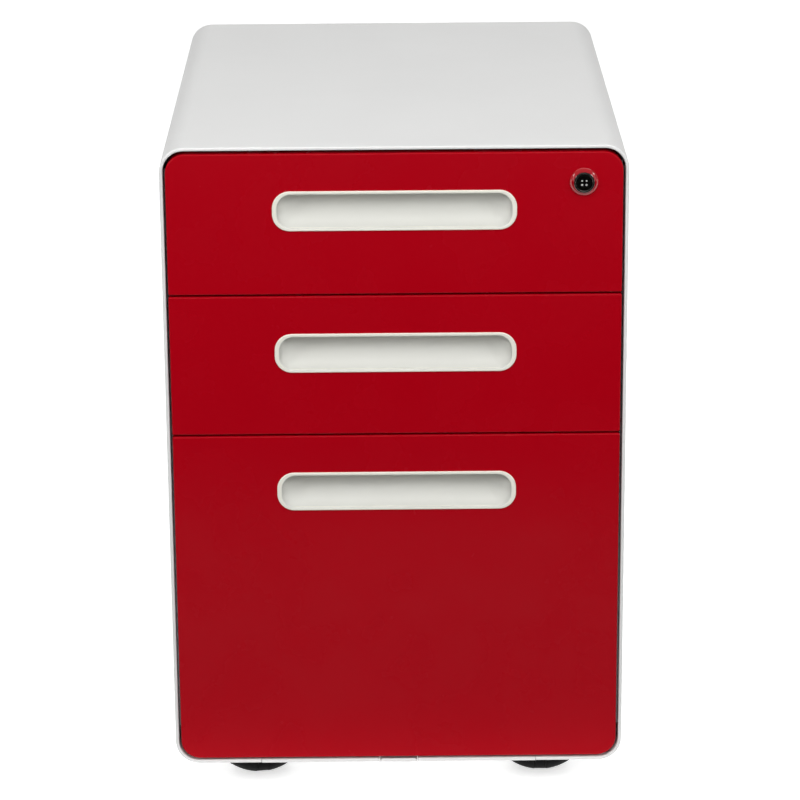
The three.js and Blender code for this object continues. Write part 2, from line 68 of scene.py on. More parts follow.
CORNER_RADIUS = 21.0
SHEET = 1.0
RIM = 3.0
HEM_DEPTH = 10.0
RIM_BEND = (1.4, 0.9)  # the rim's outer and inner rounding
RIM_FOLD = 1.2  # from the rim's face to the inside of its fold
ARC_STEPS = 10


def box_mm(node):
    """The lowest and highest corner of a node, in millimetres."""
    low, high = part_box(node)
    return np.array(low) * 1000, np.array(high) * 1000


def bend(centre, radius, start, end, steps):
    """Points on a round bend: centre + radius (cos a, sin a), with a running evenly from start to end, in
    degrees."""
    angle = np.radians(np.linspace(start, end, steps + 1))
    return np.column_stack([centre[0] + radius * np.cos(angle), centre[1] + radius * np.sin(angle)])


def grid_quads(rows, columns, wrap_rows=False, wrap_columns=False):
    """The quads of a grid of points numbered row by row: each joins a point to its neighbours one row and one
    column on. A wrapped direction joins its last line back to its first."""
    row = np.arange(rows if wrap_rows else rows - 1)[:, None]
    column = np.arange(columns if wrap_columns else columns - 1)[None, :]
    next_row, next_column = (row + 1) % rows, (column + 1) % columns
    corners = [row * columns + column, row * columns + next_column,
               next_row * columns + next_column, next_row * columns + column]
    return np.stack(np.broadcast_arrays(*corners), axis=-1)


def piece(name, points, faces, body, slot, material, replaces=(), smooth=35, second=None, second_from=0):
    """A mesh object from points in millimetres. Doubled points are merged, the faces are turned outwards, and
    edges sharper than the smooth angle stay crisp. It rides on a body and stands for the nodes it replaces. A
    second material takes the faces from number second_from on."""
    mesh = bpy.data.meshes.new(name)
    mesh.from_pydata(np.asarray(points, float).reshape(-1, 3) / 1000, [], [list(face) for face in faces])
    if second:
        mesh.polygons.foreach_set("material_index", [int(n >= second_from) for n in range(len(faces))])
    work = bmesh.new()
    work.from_mesh(mesh)
    bmesh.ops.remove_doubles(work, verts=work.verts, dist=2e-6)
    bmesh.ops.dissolve_degenerate(work, edges=work.edges, dist=1e-6)
    bmesh.ops.recalc_face_normals(work, faces=work.faces)
    work.to_mesh(mesh)
    work.free()
    mesh.shade_smooth()
    mesh.set_sharp_from_angle(angle=math.radians(smooth))
    made = bpy.data.objects.new(name, mesh)
    bpy.context.scene.collection.objects.link(made)
    for finish in filter(None, (material, second)):
        mesh.materials.append(finish)
    even = made.modifiers.new("flat faces stay flat", "WEIGHTED_NORMAL")
    even.keep_sharp = True
    even.weight = 100
    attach(made, body)
    if replaces:
        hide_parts(*replaces)
    return made


def linear(colour):
    """An sRGB hex colour as linear red, green, blue and alpha."""
    encoded = np.array([int(colour[i:i + 2], 16) for i in (1, 3, 5)]) / 255
    straight = np.where(encoded <= 0.04045, encoded / 12.92, ((encoded + 0.055) / 1.055) ** 2.4)
    return (*straight.tolist(), 1.0)


def add_node(tree, kind, links=(), **settings):
    """Adds one shader node and gives back its first output in use. A setting whose name is an input sets that
    input, and any other is the node's own. Each link is (output, number of the input among those in use)."""
    made = tree.nodes.new(kind)
    for key, value in settings.items():
        name = key.replace("_", " ").lower()
        inputs = [s for s in made.inputs if s.enabled and s.name.lower() == name]
        if inputs:
            inputs[0].default_value = value
        else:
            setattr(made, key, value)
    for output, place in links:
        tree.links.new(output, [s for s in made.inputs if s.enabled][place])
    return next(s for s in made.outputs if s.enabled)


def start_material(name, **settings):
    """A new material with one Principled shader, and the shader's tree, itself and the object coordinates."""
    material = bpy.data.materials.new(name)
    material.use_nodes = True
    tree = material.node_tree
    shader = tree.nodes["Principled BSDF"]
    for key, value in settings.items():
        shader.inputs[key.replace("_", " ")].default_value = value
    place = tree.nodes.new("ShaderNodeTexCoord").outputs["Object"]
    return material, tree, shader, place


def powder_coat(name, colour, shade, roughness, specular, peel_mm, peel_height_mm):
    """Powder coat, sprayed dry and baked. It gives a smooth plastic sheen broken by orange peel: soft dimples
    a few millimetres across. Its colour drifts very slightly where the film is thicker or handled more."""
    material, tree, shader, place = start_material(name, IOR=1.5, Specular_IOR_Level=specular)
    film = add_node(tree, "ShaderNodeTexNoise", [(place, 0)], Scale=5.0, Detail=3.0)
    tint = add_node(tree, "ShaderNodeMix", [(film, 0)], data_type="RGBA", A=linear(colour), B=linear(shade))
    tree.links.new(tint, shader.inputs["Base Color"])
    haze = add_node(tree, "ShaderNodeTexNoise", [(place, 0)], Scale=22.0, Detail=4.0)
    spread = add_node(tree, "ShaderNodeMapRange", [(haze, 0)], From_Min=0.3, From_Max=0.7,
                      To_Min=roughness - 0.03, To_Max=roughness + 0.04)
    tree.links.new(spread, shader.inputs["Roughness"])
    peel = add_node(tree, "ShaderNodeTexNoise", [(place, 0)], Scale=1000 / peel_mm, Detail=1.5)
    bump = add_node(tree, "ShaderNodeBump", Distance=peel_height_mm / 1000)
    tree.links.new(peel, bump.node.inputs["Height"])
    tree.links.new(bump, shader.inputs["Normal"])
    return material


case_white = powder_coat("white_powder_coated_steel", "#E1E1E0", "#DDDDDC", 0.42, 0.45, 3.0, 0.02)

case_low, case_high = box_mm("outer_wrapper")
case_half = case_high[0]
front_y, back_y = case_low[1], case_high[1]
base_z, top_z = case_low[2], case_high[2]
pan_half = box_mm("base_pan")[1][0]
FRONT_STRIP = 23.0  # the bottom returns reach inwards only in a strip this deep, and casters swing behind it
REAR_STRIP = 15.0
strip_front, strip_rear = front_y + FRONT_STRIP, back_y - REAR_STRIP
RETURN_EDGE = 123.5  # where the returns end, on either side of the middle


def rim_section():
    """The folded sheet cut across, as (inset from the outer face, y): along the outside from the back, round
    the rim's two bends, back along the hem, and along the inside to the back again."""
    outer = [(0, back_y), (0, strip_rear), (0, strip_front)]
    outer_bend, inner_bend = RIM_BEND
    first = bend((outer_bend, front_y + outer_bend), outer_bend, 180, 270, 6)
    second = bend((RIM - inner_bend, front_y + inner_bend), inner_bend, 270, 360, 4)
    hem_end, fold = front_y + HEM_DEPTH, front_y + RIM_FOLD
    hem = [(RIM, hem_end), (RIM - SHEET, hem_end), (RIM - SHEET, fold)]
    inner = [(SHEET, fold), (SHEET, strip_front), (SHEET, strip_rear), (SHEET, back_y)]
    return np.vstack([outer, first, second, hem, inner])


def case_shell():
    """The section carried round the case. A station has a centre and an outward angle, and a section point
    lies at centre + (corner radius - inset) along that angle. Between the base strips the returns are cut
    back to the station where the corner reaches the base pan."""
    cut_angle = math.degrees(math.asin((pan_half - (case_half - CORNER_RADIUS)) / CORNER_RADIUS))
    quarter = np.concatenate([np.linspace(0, cut_angle, 3), np.linspace(cut_angle, 90, ARC_STEPS)[1:]])
    inner_x, low_z, high_z = case_half - CORNER_RADIUS, base_z + CORNER_RADIUS, top_z - CORNER_RADIUS
    corners = [((inner_x, low_z), quarter - 90),
               ((inner_x, high_z), np.linspace(0, 90, ARC_STEPS + 1)),
               ((-inner_x, high_z), np.linspace(90, 180, ARC_STEPS + 1)),
               ((-inner_x, low_z), 270 - quarter[::-1])]
    centres = [[RETURN_EDGE, low_z]] + [c for c, angles in corners for _ in angles] + [[-RETURN_EDGE, low_z]]
    angles = np.radians(np.concatenate([[-90]] + [a for _, a in corners] + [[-90]]))
    section = rim_section()
    reach = CORNER_RADIUS - section[:, 0]
    points = np.empty((len(angles), len(section), 3))
    points[:, :, 0] = np.array(centres)[:, None, 0] + reach * np.cos(angles)[:, None]
    points[:, :, 1] = section[:, 1]
    points[:, :, 2] = np.array(centres)[:, None, 1] + reach * np.sin(angles)[:, None]

    count = len(section)
    last = len(angles) - 1
    cut = 3  # stations from the seam to where the return is cut back
    quads = grid_quads(len(angles), count, wrap_columns=True)
    segment = np.arange(last)
    in_return = (segment < cut) | (segment >= last - cut)
    open_columns = np.zeros(count, bool)
    open_columns[[1, count - 3]] = True
    kept = quads[~(in_return[:, None] & open_columns[None, :])]
    at = lambda station, column: station * count + column
    faces = kept.tolist()
    for s in segment[in_return]:
        for outer, inner in ((1, count - 2), (2, count - 3)):
            faces.append([at(s, outer), at(s + 1, outer), at(s + 1, inner), at(s, inner)])
    for s in (cut, last - cut):
        faces.append([at(s, 1), at(s, 2), at(s, count - 3), at(s, count - 2)])
    for s in (0, last):
        faces.append([at(s, column) for column in range(2, count - 2)])
        faces.append([at(s, 0), at(s, 1), at(s, count - 2), at(s, count - 1)])
    return points, faces


piece("case_wrapper", *case_shell(), "cabinet", "case_paint", case_white, ["outer_wrapper"])


# ==== Folded and stamped steel inside the case ====
# Base pan, back panel, top rail and runner posts: folded sheet, bent about as tightly as it is thick. The
# pan's front fold carries the rim on as the sill. The posts are zinc-plated and spot-welded to the case.


def eased(node, material, radius_mm, segments=2):
    """A copy of a node's solid with its flat faces whole again and its edges rounded, as a fold or a mould
    leaves them."""
    source = frame["nodes"][node]
    mesh = source.data.copy()
    work = bmesh.new()
    work.from_mesh(mesh)
    bmesh.ops.remove_doubles(work, verts=work.verts, dist=2e-6)
    bmesh.ops.dissolve_limit(work, angle_limit=math.radians(0.5), verts=work.verts, edges=work.edges)
    work.to_mesh(mesh)
    work.free()
    mesh.materials.clear()
    mesh.materials.append(material)
    mesh.shade_smooth()
    mesh.set_sharp_from_angle(angle=math.radians(35))
    made = bpy.data.objects.new(node + "_eased", mesh)
    bpy.context.scene.collection.objects.link(made)
    rounding = made.modifiers.new("eased edges", "BEVEL")
    rounding.width = radius_mm / 1000
    rounding.segments = segments
    rounding.limit_method = "ANGLE"
    rounding.angle_limit = math.radians(40)
    rounding.use_clamp_overlap = True
    even = made.modifiers.new("flat faces stay flat", "WEIGHTED_NORMAL")
    even.keep_sharp = True
    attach(made, source["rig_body"])
    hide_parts(node)
    return made


def zinc_plate(name, colour, bright, grain_mm):
    """Zinc-plated steel, barrel-plated and passivated: a bright grey metal with a faint crystal mottle, and
    fine rolling lines along the strip that stretch its highlights."""
    material, tree, shader, place = start_material(name, Metallic=1.0)
    mottle = add_node(tree, "ShaderNodeTexVoronoi", [(place, 0)], Scale=1000 / grain_mm)
    tint = add_node(tree, "ShaderNodeMix", [(mottle, 0)], data_type="RGBA",
                    A=linear(colour), B=linear(bright))
    tree.links.new(tint, shader.inputs["Base Color"])
    along = add_node(tree, "ShaderNodeMapping", [(place, 0)], Scale=(1.0, 0.03, 1.0))
    lines = add_node(tree, "ShaderNodeTexNoise", [(along, 0)], Scale=900.0, Detail=2.0)
    spread = add_node(tree, "ShaderNodeMapRange", [(lines, 0)], To_Min=0.24, To_Max=0.46)
    tree.links.new(spread, shader.inputs["Roughness"])
    return material


zinc = zinc_plate("zinc_plated_steel", "#B4B9BD", "#CDD1D4", 4.0)
FOLD = 0.45

eased("base_pan", case_white, FOLD)
eased("back_panel", case_white, FOLD)
eased("top_front_rail", case_white, FOLD)
for end in ("front", "rear"):
    for side in ("left", "right"):
        eased(f"{end}_{side}_post", zinc, FOLD)


# ==== Drawer boxes ====
# Folded steel tubs, spot-welded at the corners, in off-white powder coat.

drawer_white = powder_coat("off_white_powder_coated_steel", "#D8D9D6", "#D2D3D0", 0.5, 0.45, 3.0, 0.02)
for drawer in ("top", "middle", "file"):
    eased(f"{drawer}_drawer_box", drawer_white, 0.35)


# ==== Runners ====
# Cold-rolled steel channels in three nested members on each side of every drawer. The inner one is screwed to
# the drawer's wall. The hanging rails, the lock bar and its cam are of the same plated steel.

for drawer in ("top", "middle", "file"):
    for side in ("left", "right"):
        for member in ("outer", "middle", "drawer"):
            eased(f"{drawer}_{side}_{member}_runner", zinc, 0.35, 1)

SCREW_HEAD = (3.3, 1.4)  # radius and height of a pan head
SCREW_STATIONS = (32.0, 225.0, 418.0)  # along the drawer member from its front end
HEAD_STEPS = 16
RUNNER_SHEET = 1.2
SEATED = 0.02  # the gap under a head, so that it doesn't share the web's face


def pan_screws(node, side):
    """Cross-recess pan heads in a row on a runner's web. A head is rings of radius r about an axis along x:
    the rounded head first, then the recess, whose four arms are r = 0.5 + 1.1 cos(2a)^6."""
    low, high = box_mm(node)
    web_x = (low[0] if side > 0 else high[0]) + side * RUNNER_SHEET
    radius, height = SCREW_HEAD
    a = np.linspace(0, 2 * np.pi, HEAD_STEPS, endpoint=False)
    whole = np.ones(HEAD_STEPS)
    arms = 0.5 + 1.1 * np.cos(2 * a) ** 6
    rings = [(radius * whole, 0), (radius * whole, 0.5), (0.82 * radius * whole, 0.8 * height),
             (0.55 * radius * whole, height), (arms, height), (0.8 * arms, height - 0.9)]
    points, faces = [], []
    for station in SCREW_STATIONS:
        first = len(points) * HEAD_STEPS
        last = first + HEAD_STEPS * (len(rings) - 1)
        for reach, rise in rings:
            points.append(np.column_stack([(web_x + side * (rise + SEATED)) * whole,
                                           low[1] + station + reach * np.cos(a),
                                           (low[2] + high[2]) / 2 + reach * np.sin(a)]))
        faces += (grid_quads(len(rings), HEAD_STEPS, False, True).reshape(-1, 4) + first).tolist()
        faces += [list(range(start, start + HEAD_STEPS)) for start in (first, last)]
    return np.array(points), faces


for drawer in ("top", "middle", "file"):
    for side, sign in (("left", -1), ("right", 1)):
        piece(f"{drawer}_{side}_runner_screws", *pan_screws(f"{drawer}_{side}_drawer_runner", sign),
              f"{drawer}_drawer", "zinc_steel", zinc)
for side in ("left", "right"):
    eased(f"{side}_hanging_rail", zinc, 0.6)
eased("lock_bar", zinc, 0.3, 1)
eased("lock_cam", zinc, 0.3, 1)


# ==== Pencil tray ====
# Vacuum-formed black polystyrene, hung on the top drawer's rim. A fine leather grain dulls it.


def moulded_plastic(name, colour, shade, roughness, specular, grain_mm, grain_height_mm):
    """Injection-moulded or formed plastic: an even body colour, with the mould's fine grain as a soft
    sheen."""
    material, tree, shader, place = start_material(name, IOR=1.53, Specular_IOR_Level=specular)
    cloud = add_node(tree, "ShaderNodeTexNoise", [(place, 0)], Scale=30.0, Detail=3.0)
    tint = add_node(tree, "ShaderNodeMix", [(cloud, 0)], data_type="RGBA", A=linear(colour), B=linear(shade))
    tree.links.new(tint, shader.inputs["Base Color"])
    spread = add_node(tree, "ShaderNodeMapRange", [(cloud, 0)],
                      To_Min=roughness - 0.05, To_Max=roughness + 0.05)
    tree.links.new(spread, shader.inputs["Roughness"])
    grain = add_node(tree, "ShaderNodeTexNoise", [(place, 0)], Scale=1000 / grain_mm, Detail=2.0)
    bump = add_node(tree, "ShaderNodeBump", Distance=grain_height_mm / 1000)
    tree.links.new(grain, bump.node.inputs["Height"])
    tree.links.new(bump, shader.inputs["Normal"])
    return material


tray_black = moulded_plastic("formed_black_polystyrene", "#1E1F20", "#252627", 0.55, 0.5, 0.9, 0.03)
eased("pencil_tray", tray_black, 0.9, 3)


# ==== Drawer fronts ====
# Each is one sheet of 1 mm steel folded back 20 mm at all four edges and turned in again behind, with a slot
# cut out for its handle. The red powder coat is kept low in gloss. The stack's outer corners follow the
# case's mouth.

front_red = powder_coat("red_powder_coated_steel", "#A80012", "#A40012", 0.26, 0.12, 3.0, 0.012)
FRONT_CORNER = 17.0
HEAD_GAP = 0.8  # the top panel stops a little lower, which leaves a wider dark line under the rim
PLAIN_CORNER = 1.6
FRONT_BEND = 1.3
TURN_IN = 9.0
HANDLE_DROP = 51.0  # the handle's centre line below the front's top edge
HANDLE_SLOT = (102.0, 14.9)  # half length and half height of the slot cut for it
SLOT_FLAT = 2.6  # the ends aren't full rounds: their radius is this much short of half the height
FOLD_EDGE = 0.5  # the rounding where the side turns in


def outline(half, low, high, top_radius, bottom_radius, y, middle_x=0.0):
    """Stations round a rectangle with rounded corners that stands at y: four quarter arcs, each
    centre + radius (cos a, sin a), which the straight sides join."""
    quarter = np.linspace(0, 90, ARC_STEPS + 1)
    corners = [(half - bottom_radius, low + bottom_radius, bottom_radius, -90),
               (half - top_radius, high - top_radius, top_radius, 0),
               (-half + top_radius, high - top_radius, top_radius, 90),
               (-half + bottom_radius, low + bottom_radius, bottom_radius, 180)]
    arcs = []
    for x, z, radius, start in corners:
        angle = np.radians(start + quarter)
        arcs.append(np.column_stack([middle_x + x + radius * np.cos(angle), np.full(len(angle), float(y)),
                                     z + radius * np.sin(angle)]))
    return np.vstack(arcs)


def slot_outline(half, rise, middle_z, y):
    """The handle's slot shape at y: nearly round ends, evenly spaced from any other slot outline round it."""
    radius = rise - SLOT_FLAT
    return outline(half, middle_z - rise, middle_z + rise, radius, radius, y)


def drawer_front(name, top_corner, bottom_corner):
    """Rings round the panel, each an outline at its own inset and depth: the slot's edge, the flat face, the
    bend, the side, the turned-in edge behind, and back along the inside. The last ring joins the first."""
    low, high = box_mm(name)
    middle_z = high[2] - HANDLE_DROP
    high[2] -= HEAD_GAP if top_corner == FRONT_CORNER else 0
    slot_half, slot_rise = HANDLE_SLOT
    ring = lambda inset, y: outline(high[0] - inset, low[2] + inset, high[2] - inset,
                                    max(top_corner - inset, 0.25), max(bottom_corner - inset, 0.25), y)
    face_y, rear_y = low[1], high[1]
    rolled = bend((FRONT_BEND, face_y + FRONT_BEND), FRONT_BEND, 270, 180, 4)
    turned_in = bend((FOLD_EDGE, rear_y - FOLD_EDGE), FOLD_EDGE, 180, 90, 2)
    rings = [slot_outline(slot_half, slot_rise, middle_z, y) for y in (face_y + SHEET, face_y)]
    rings += [ring(inset, y) for inset, y in rolled]
    rings += [ring(inset, y) for inset, y in turned_in]
    rings += [ring(TURN_IN, rear_y), ring(TURN_IN, rear_y - SHEET), ring(SHEET, rear_y - SHEET),
              ring(SHEET, face_y + SHEET)]
    points = np.array(rings)
    return points, grid_quads(len(rings), points.shape[1], True, True).reshape(-1, 4)


for drawer, corners in (("top", (FRONT_CORNER, PLAIN_CORNER)), ("middle", (PLAIN_CORNER, PLAIN_CORNER)),
                        ("file", (PLAIN_CORNER, FRONT_CORNER))):
    node = f"{drawer}_drawer_front"
    piece(f"{drawer}_drawer_panel", *drawer_front(node, *corners), f"{drawer}_drawer", "front_paint",
          front_red, [node])


# ==== Handles ====
# A moulded ABS scoop pressed into the slot from the front, held by its rim. The upper wall drops steeply so
# that fingers hook behind it, and the floor sweeps out to the lower rim. The rim is polished warm white. The
# scoop has a duller grain, and its colour is a greyer painted shade that darkens the recess.

handle_polish = moulded_plastic("polished_warm_white_abs", "#EDEBE0", "#E8E6DA", 0.2, 0.5, 1.2, 0.004)
# painted shade: the scoop's colour is greyer than the rim's to darken the recess; only its grain and
# roughness are its own
scoop_grain_and_painted_shade = moulded_plastic("grained_abs_with_painted_recess_shade", "#D4D4CF", "#CFCFC9", 0.5, 0.3, 0.5, 0.02)
RIM_EDGE = 0.8
RIM_WIDE = (4.2, 2.7)  # the rim's width at the ends and along the top and bottom
SCOOP_DEPTH = 16.0
SCOOP_LINE = 4.0  # the scoop's deepest line, above the handle's middle
SCOOP_END = 24.0  # from the mouth's end to the end of the deepest line
SCOOP_STEPS = 16
SCOOP_CROWD = 1.4  # above 1, the rings lie closer together near the mouth
SCOOP_POWER = (2.2, 2.6, 0.5)  # n at mid-height, its rise towards the top, and its fall towards the bottom
MOUTH_EASE = (0.5, 0.35)  # the mouth's small step: outwards and in depth
TUB_INSET = 3.1  # the tub behind the rim is this much smaller all round


def handle_scoop(node):
    """Rings from the back of the rim round to the mouth, then a scoop. Scoop ring q runs from the mouth (0)
    to the deepest line (1): each station moves straight towards that line, and its depth is
    (1 - (1 - q)^n)^(1/n) of the whole, with a high n under the upper rim and a low n over the floor. The
    last value given back is the number of the scoop's first face."""
    low, high = box_mm(node)
    middle_z = (low[2] + high[2]) / 2
    half, rise = high[0], (high[2] - low[2]) / 2
    face_y, seat_y, tub_y = low[1], front_y - 0.1, high[1]
    ring = lambda inset, y: slot_outline(half - inset, rise - inset, middle_z, y)
    rings = [ring(rise - 4, tub_y), ring(TUB_INSET + 0.5, tub_y), ring(TUB_INSET, tub_y - 0.5),
             ring(TUB_INSET, seat_y), ring(0, seat_y)]
    rings += [ring(inset, y) for inset, y in bend((RIM_EDGE, face_y + RIM_EDGE), RIM_EDGE, 180, 270, 4)]
    mouth_half, mouth_rise = half - RIM_WIDE[0], rise - RIM_WIDE[1]
    out, ease_depth = MOUTH_EASE
    mouth = slot_outline(mouth_half, mouth_rise, middle_z, face_y)
    lip = slot_outline(mouth_half + out, mouth_rise + out, middle_z, face_y)
    rings.append(lip)
    scoop_from = (len(rings) - 1) * len(lip)
    from_middle = mouth - [0, 0, middle_z]
    upward = np.clip(from_middle[:, 2] / mouth_rise, -1, 1)
    level_power, more, less = SCOOP_POWER
    power = np.where(upward > 0, level_power + more * upward ** 2, level_power + less * upward)
    line = np.column_stack([np.sign(mouth[:, 0]) * (mouth_half - SCOOP_END), np.full(len(mouth), face_y),
                            np.full(len(mouth), middle_z + SCOOP_LINE)])
    for q in (np.arange(SCOOP_STEPS + 1) / SCOOP_STEPS) ** SCOOP_CROWD:
        level = mouth * (1 - q) + line * q
        level[:, 1] = face_y + ease_depth + SCOOP_DEPTH * (1 - (1 - q) ** power) ** (1 / power)
        rings.append(level)
    points = np.array(rings)
    faces = grid_quads(len(rings), points.shape[1], False, True).reshape(-1, 4).tolist()
    faces.insert(0, list(range(points.shape[1])))
    return points, faces, scoop_from + 1


for drawer in ("top", "middle", "file"):
    node = f"{drawer}_drawer_handle"
    points, faces, scoop_from = handle_scoop(node)
    piece(f"{drawer}_handle_scoop", points, faces, f"{drawer}_drawer", "handle_plastic", handle_polish,
          [node], smooth=50, second=scoop_grain_and_painted_shade, second_from=scoop_from)


# ==== Lock ====
# A die-cast zinc cam lock. Its flared flange is lacquered red like the panel, with a clear gloss, and its
# raised collar is black chrome. The key plug is black nickel: an upright keyway between four hardened pins.


def chrome_plate(name, colour, roughness):
    """A plated or ground metal, as a lock has: a near mirror, with faint hairline scratches from keys."""
    material, tree, shader, place = start_material(name, Metallic=1.0, Base_Color=linear(colour))
    across = add_node(tree, "ShaderNodeMapping", [(place, 0)], Scale=(1.0, 1.0, 0.08))
    hair = add_node(tree, "ShaderNodeTexNoise", [(across, 0)], Scale=1400.0, Detail=3.0)
    spread = add_node(tree, "ShaderNodeMapRange", [(hair, 0)], To_Min=roughness, To_Max=roughness + 0.08)
    tree.links.new(spread, shader.inputs["Roughness"])
    return material


def turned(section, centre, axis, steps):
    """A section of (radius, distance along the axis) turned once about the axis, as rings of points: centre +
    axis times distance + radius (cos a, sin a) in the plane across it."""
    axis = np.array(axis, float) / np.linalg.norm(axis)
    first = np.array([0, 0, 1], float)
    first = first - axis * (first @ axis)
    first /= np.linalg.norm(first)
    second = np.cross(axis, first)
    angle = np.linspace(0, 2 * np.pi, steps, endpoint=False)
    section = np.asarray(section, float)
    round_ = np.cos(angle)[:, None] * first + np.sin(angle)[:, None] * second
    return (np.array(centre, float) + section[:, 1, None, None] * axis
            + section[:, 0, None, None] * round_[None, :, :])


lock_chrome = chrome_plate("black_chrome_plated_die_cast_zinc", "#65625F", 0.05)
flange_red = powder_coat("clear_lacquered_red_zinc", "#A40012", "#A00012", 0.08, 0.5, 3.0, 0.002)
lacquer = flange_red.node_tree.nodes["Principled BSDF"].inputs
lacquer["Coat Weight"].default_value = 1.0
lacquer["Coat IOR"].default_value = 1.6
plug_nickel = chrome_plate("black_nickel_plated_plug", "#3A3936", 0.12)
pin_steel = chrome_plate("ground_hardened_steel", "#F2F2F0", 0.3)
barrel_low, barrel_high = box_mm("lock_barrel")
plug_low, plug_high = box_mm("lock_plug")
lock_x = (barrel_low[0] + barrel_high[0]) / 2
lock_z = (barrel_low[2] + barrel_high[2]) / 2
lock_centre = [lock_x, 0, lock_z]
flange_radius = barrel_high[0] - lock_x
plug_radius = plug_high[0] - lock_x
COLLAR_RADIUS = 8.9
BARREL_RADIUS = 9.1
BEZEL_STEPS = 72
KEYWAY = (0.8, 3.8)  # half width and half height
PIN_PROUD = 0.3  # the pins' height above the plug's face
PIN_STEPS = 24
PINS = ((1.9, 1.5, 0.7), (1.9, -2.0, 0.95))  # sideways, up, radius


def lock_bezel():
    """The bezel's section, turned about the lock's axis: the collar with a rounded brow and an inner chamfer,
    the bore, the barrel behind, the flange's edge and its flared face. The last value given back is the
    number of the flange's first face."""
    tip = barrel_low[1]
    bore = plug_radius + 0.15
    flare = np.linspace(0, 1, 7)
    flared = np.column_stack([flange_radius - (flange_radius - COLLAR_RADIUS - 0.5) * flare,
                              front_y - 0.8 - 1.6 * flare - 0.5 * np.sin(np.pi * flare)])
    brow = bend((COLLAR_RADIUS - 0.5, tip + 0.5), 0.5, 0, -90, 4)
    section = np.vstack([
        [(COLLAR_RADIUS, front_y - 2.7)], brow,
        [(bore + 0.55, tip), (bore, tip + 0.6), (bore, barrel_high[1]), (BARREL_RADIUS, barrel_high[1]),
         (BARREL_RADIUS, front_y - 0.2), (flange_radius, front_y - 0.2)], flared])
    points = turned(section, lock_centre, (0, 1, 0), BEZEL_STEPS)
    flange_from = (len(section) - len(flared) - 1) * BEZEL_STEPS
    return points, grid_quads(len(section), BEZEL_STEPS, True, True).reshape(-1, 4), flange_from


def key_plug():
    """The plug's face lies between a circle and the keyway's outline, joined station to station. The keyway
    is an upright slot with rounded ends, chamfered at its mouth, and closed just in front of the panel."""
    stations = outline(1, -1, 1, 1, 1, 0)
    angle = np.arctan2(stations[:, 2], stations[:, 0])
    half, rise = KEYWAY
    corner = 0.5
    circle = lambda radius, y: np.column_stack([lock_x + radius * np.cos(angle), np.full(len(angle), y),
                                                lock_z + radius * np.sin(angle)])
    slot_ring = lambda grow, y: outline(half + grow, lock_z - rise - grow, lock_z + rise + grow,
                                        corner + grow, corner + grow, y, middle_x=lock_x)
    face, rear = plug_low[1] + PIN_PROUD, plug_high[1]
    rings = [circle(plug_radius, rear), circle(plug_radius, face + 0.4), circle(plug_radius - 0.4, face),
             slot_ring(0.25, face), slot_ring(0, face + 0.3), slot_ring(0, front_y - 0.15)]
    points = np.array(rings)
    count = points.shape[1]
    faces = grid_quads(len(rings), count, False, True).reshape(-1, 4).tolist()
    faces.append(list(range(count)))
    faces.append([(len(rings) - 1) * count + i for i in range(count)])
    return points, faces


def domed_pin(across, up, radius):
    """A hardened pin pressed into the plug's face: a short shank and a dome. At sin(a) of its radius the dome
    stands cos(a) of its height above the face, with a from 0 at the tip to 90 degrees at the edge."""
    a = np.radians(np.linspace(90, 0, 6))
    face = plug_low[1] + PIN_PROUD
    dome = np.column_stack([radius * np.sin(a), face - PIN_PROUD * np.cos(a)])
    section = np.vstack([[(0, face + 1.0), (radius, face + 1.0)], dome])
    rings = turned(section, [lock_x + across, 0, lock_z + up], (0, 1, 0), PIN_STEPS)
    return rings, grid_quads(len(section), PIN_STEPS, False, True).reshape(-1, 4)


points, faces, flange_from = lock_bezel()
piece("lock_bezel", points, faces, "top_drawer", "lock_chrome", lock_chrome, ["lock_barrel"],
      second=flange_red, second_from=flange_from)
piece("lock_key_plug", *key_plug(), "lock_plug", "lock_chrome", plug_nickel, ["lock_plug"])
for across, up, radius in PINS:
    for side in (-1, 1):
        piece(f"lock_pin_{'low' if up < 0 else 'high'}_{'left' if side < 0 else 'right'}",
              *domed_pin(side * across, up, radius), "lock_plug", "lock_chrome", pin_steel)


# ==== Casters ====
# Twin-wheel furniture casters: a pressed plate with a riveted stem, a moulded black nylon hood whose web
# fills most of the gap between the wheels, and two domed nylon wheels. The nylon has almost no gloss.

nylon = moulded_plastic("moulded_black_nylon", "#08080A", "#0C0C0D", 0.5, 0.04, 1.0, 0.01)
WHEEL_STEPS = 64
WHEEL_RADIUS = 25.0
WHEEL_FACES = (4.9, 29.0)  # the inner and the outer face, from the caster's middle
CROWN = 49.0  # the radius that the tread is crowned to
SHOULDER = 1.2


def wheel_section():
    """A wheel cut from its axis out, as (radius, distance d from the caster's middle): the inner face at di,
    the tread r = R - (sqrt(C^2 - di^2) - sqrt(C^2 - d^2)) for a crown C, the rounded shoulder, and a dished
    outer face."""
    inner, outer = WHEEL_FACES
    across = np.linspace(inner + 0.7, outer - SHOULDER, 14)
    radius = WHEEL_RADIUS - np.sqrt(CROWN ** 2 - inner ** 2) + np.sqrt(CROWN ** 2 - across ** 2)
    tread = np.column_stack([radius, across])
    edge = tread[-1, 0]
    shoulder = bend((edge - SHOULDER, outer - SHOULDER), SHOULDER, 15, 90, 4)
    face = [(edge - 2.2, outer), (edge - 2.8, outer - 0.7), (8.4, outer - 1.1), (7.8, outer - 0.6),
            (6.8, outer - 0.6), (6.4, outer - 1.0), (5.8, outer - 0.4), (3.0, outer - 0.05), (0.0, outer)]
    start = [(0.0, outer - 3.5), (3.3, outer - 3.5), (3.3, inner), (24.7, inner)]
    return np.vstack([start, tread, shoulder, face])


